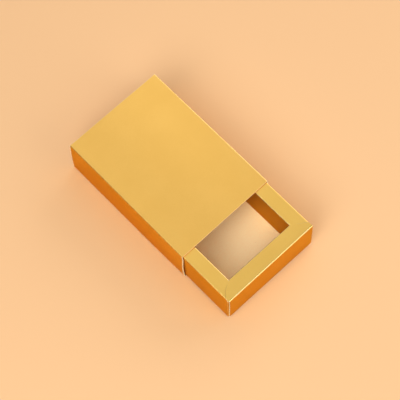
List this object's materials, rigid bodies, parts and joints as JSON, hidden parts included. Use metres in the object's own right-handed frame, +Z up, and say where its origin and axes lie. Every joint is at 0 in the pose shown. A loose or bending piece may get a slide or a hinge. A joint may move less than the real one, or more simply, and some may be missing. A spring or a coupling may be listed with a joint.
{
  "type": "sliding drawer gift box",
  "caption": "Small matchbox-style gift box in gold-faced card: an open-ended sleeve with a hollow-walled drawer that slides through it.",
  "frame": {"origin": "middle of the sleeve's underside", "axes": "+X across the box to the seam side, the drawer slides along Y and opens towards -Y, +Z up"},
  "size_m": [0.0636, 0.1247, 0.0275],
  "materials": {
    "gold_card": "satin metallised gold face on folding boxboard",
    "white_card": "matt uncoated reverse and cut edges of the board"
  },
  "bodies": {
    "sleeve": {"sleeve_top_panel": "gold_card", "sleeve_left_side": "gold_card", "sleeve_lower_left_fold": "gold_card", "sleeve_right_side": "gold_card", "sleeve_lower_right_fold": "gold_card", "sleeve_bottom_panel": "gold_card", "sleeve_glue_flap": "white_card"},
    "drawer": {"drawer_base": "white_card", "drawer_front_wall": "gold_card", "drawer_front_rim": "gold_card", "drawer_front_inner_wall": "gold_card", "drawer_front_foot": "white_card", "drawer_right_wall": "gold_card", "drawer_right_rim": "gold_card", "drawer_right_inner_wall": "gold_card", "drawer_right_foot": "white_card", "drawer_back_wall": "gold_card", "drawer_back_rim": "gold_card", "drawer_back_inner_wall": "gold_card", "drawer_back_foot": "white_card", "drawer_left_wall": "gold_card", "drawer_left_rim": "gold_card", "drawer_left_inner_wall": "gold_card", "drawer_left_foot": "white_card", "drawer_back_right_tab": "white_card", "drawer_front_right_tab": "white_card", "drawer_front_left_tab": "white_card", "drawer_back_left_tab": "white_card"}
  },
  "joints": [
    {"name": "drawer_slide", "type": "slide", "parent": "sleeve", "child": "drawer", "axis": [0, -1, 0], "range_m": [-0.1097, 0.0397]}
  ]
}
